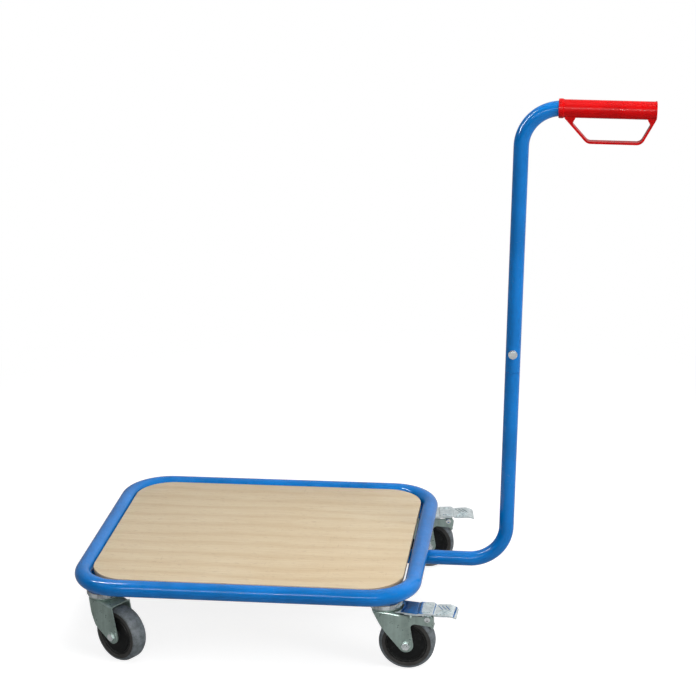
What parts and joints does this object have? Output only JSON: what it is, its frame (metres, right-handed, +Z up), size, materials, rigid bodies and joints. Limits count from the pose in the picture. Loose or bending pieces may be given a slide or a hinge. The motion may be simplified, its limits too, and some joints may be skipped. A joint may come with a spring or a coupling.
{
  "type": "transport dolly",
  "caption": "Low tube-framed transport dolly with a plywood deck, swivelling braked casters and a tall side handle with a guarded red grip.",
  "frame": {"origin": "floor level under the middle of the overall box", "axes": "+Z up, +X towards the handle's grip end, +Y away from the long side seen in front"},
  "size_m": [1.0216, 0.5502, 0.9795],
  "materials": {
    "blue_powder_coat": "gloss powder coat",
    "plywood": "satin varnish",
    "zinc_plated_steel": "bright zinc",
    "red_plastic": "gloss",
    "black_plastic": "matte",
    "grey_rubber": "matte, lightly mottled"
  },
  "bodies": {
    "deck_frame": {"frame_ring": "blue_powder_coat", "deck_board": "plywood", "crossbar_left": "blue_powder_coat", "crossbar_right": "blue_powder_coat", "handle_lower_tube": "blue_powder_coat", "handle_upper_tube": "blue_powder_coat", "handle_spigot": "zinc_plated_steel", "handle_bolt": "zinc_plated_steel", "handle_nut": "zinc_plated_steel", "grip": "red_plastic", "front_left_corner_plate": "blue_powder_coat", "front_left_caster_head": "zinc_plated_steel", "front_left_ball_ring": "zinc_plated_steel", "front_left_king_bolt": "zinc_plated_steel", "front_left_king_nut": "zinc_plated_steel", "front_right_corner_plate": "blue_powder_coat", "front_right_caster_head": "zinc_plated_steel", "front_right_ball_ring": "zinc_plated_steel", "front_right_king_bolt": "zinc_plated_steel", "front_right_king_nut": "zinc_plated_steel", "rear_left_corner_plate": "blue_powder_coat", "rear_left_caster_head": "zinc_plated_steel", "rear_left_ball_ring": "zinc_plated_steel", "rear_left_king_bolt": "zinc_plated_steel", "rear_left_king_nut": "zinc_plated_steel", "rear_right_corner_plate": "blue_powder_coat", "rear_right_caster_head": "zinc_plated_steel", "rear_right_ball_ring": "zinc_plated_steel", "rear_right_king_bolt": "zinc_plated_steel", "rear_right_king_nut": "zinc_plated_steel"},
    "front_left_swivel": {"front_left_fork": "zinc_plated_steel", "front_left_axle_bolt": "zinc_plated_steel", "front_left_axle_nut": "zinc_plated_steel", "front_left_axle_tube": "zinc_plated_steel"},
    "front_left_wheel": {"front_left_wheel_hub": "black_plastic", "front_left_tyre": "grey_rubber"},
    "front_right_swivel": {"front_right_fork": "zinc_plated_steel", "front_right_axle_bolt": "zinc_plated_steel", "front_right_axle_nut": "zinc_plated_steel", "front_right_axle_tube": "zinc_plated_steel", "front_right_brake_pin": "zinc_plated_steel"},
    "front_right_wheel": {"front_right_wheel_hub": "black_plastic", "front_right_tyre": "grey_rubber"},
    "front_right_brake": {"front_right_brake_pedal": "zinc_plated_steel", "front_right_brake_shoe": "zinc_plated_steel"},
    "rear_left_swivel": {"rear_left_fork": "zinc_plated_steel", "rear_left_axle_bolt": "zinc_plated_steel", "rear_left_axle_nut": "zinc_plated_steel", "rear_left_axle_tube": "zinc_plated_steel"},
    "rear_left_wheel": {"rear_left_wheel_hub": "black_plastic", "rear_left_tyre": "grey_rubber"},
    "rear_right_swivel": {"rear_right_fork": "zinc_plated_steel", "rear_right_axle_bolt": "zinc_plated_steel", "rear_right_axle_nut": "zinc_plated_steel", "rear_right_axle_tube": "zinc_plated_steel", "rear_right_brake_pin": "zinc_plated_steel"},
    "rear_right_wheel": {"rear_right_wheel_hub": "black_plastic", "rear_right_tyre": "grey_rubber"},
    "rear_right_brake": {"rear_right_brake_pedal": "zinc_plated_steel", "rear_right_brake_shoe": "zinc_plated_steel"}
  },
  "joints": [
    {"name": "front_left_swivel_turn", "type": "hinge", "parent": "deck_frame", "child": "front_left_swivel", "pos_m": [-0.44971, -0.219, 0.12], "axis": [0, 0, 1], "continuous": true},
    {"name": "front_left_wheel_spin", "type": "hinge", "parent": "front_left_swivel", "child": "front_left_wheel", "pos_m": [-0.41645, -0.23938, 0.05], "axis": [0.5225, 0.8526, 0], "continuous": true},
    {"name": "front_right_swivel_turn", "type": "hinge", "parent": "deck_frame", "child": "front_right_swivel", "pos_m": [0.05829, -0.219, 0.12], "axis": [0, 0, 1], "continuous": true},
    {"name": "front_right_wheel_spin", "type": "hinge", "parent": "front_right_swivel", "child": "front_right_wheel", "pos_m": [0.09727, -0.22036, 0.05], "axis": [0.0349, 0.9994, 0], "continuous": true},
    {"name": "front_right_brake_press", "type": "hinge", "parent": "front_right_swivel", "child": "front_right_brake", "pos_m": [0.13545, -0.22169, 0.102], "axis": [0.0349, 0.9994, 0], "range_deg": [0, 5]},
    {"name": "rear_left_swivel_turn", "type": "hinge", "parent": "deck_frame", "child": "rear_left_swivel", "pos_m": [-0.44971, 0.219, 0.12], "axis": [0, 0, 1], "continuous": true},
    {"name": "rear_left_wheel_spin", "type": "hinge", "parent": "rear_left_swivel", "child": "rear_left_wheel", "pos_m": [-0.41527, 0.23731, 0.05], "axis": [-0.4695, 0.8829, 0], "continuous": true},
    {"name": "rear_right_swivel_turn", "type": "hinge", "parent": "deck_frame", "child": "rear_right_swivel", "pos_m": [0.05829, 0.219, 0.12], "axis": [0, 0, 1], "continuous": true},
    {"name": "rear_right_wheel_spin", "type": "hinge", "parent": "rear_right_swivel", "child": "rear_right_wheel", "pos_m": [0.097, 0.22375, 0.05], "axis": [-0.1219, 0.9925, 0], "continuous": true},
    {"name": "rear_right_brake_press", "type": "hinge", "parent": "rear_right_swivel", "child": "rear_right_brake", "pos_m": [0.13492, 0.22841, 0.102], "axis": [-0.1219, 0.9925, 0], "range_deg": [0, 5]}
  ]
}
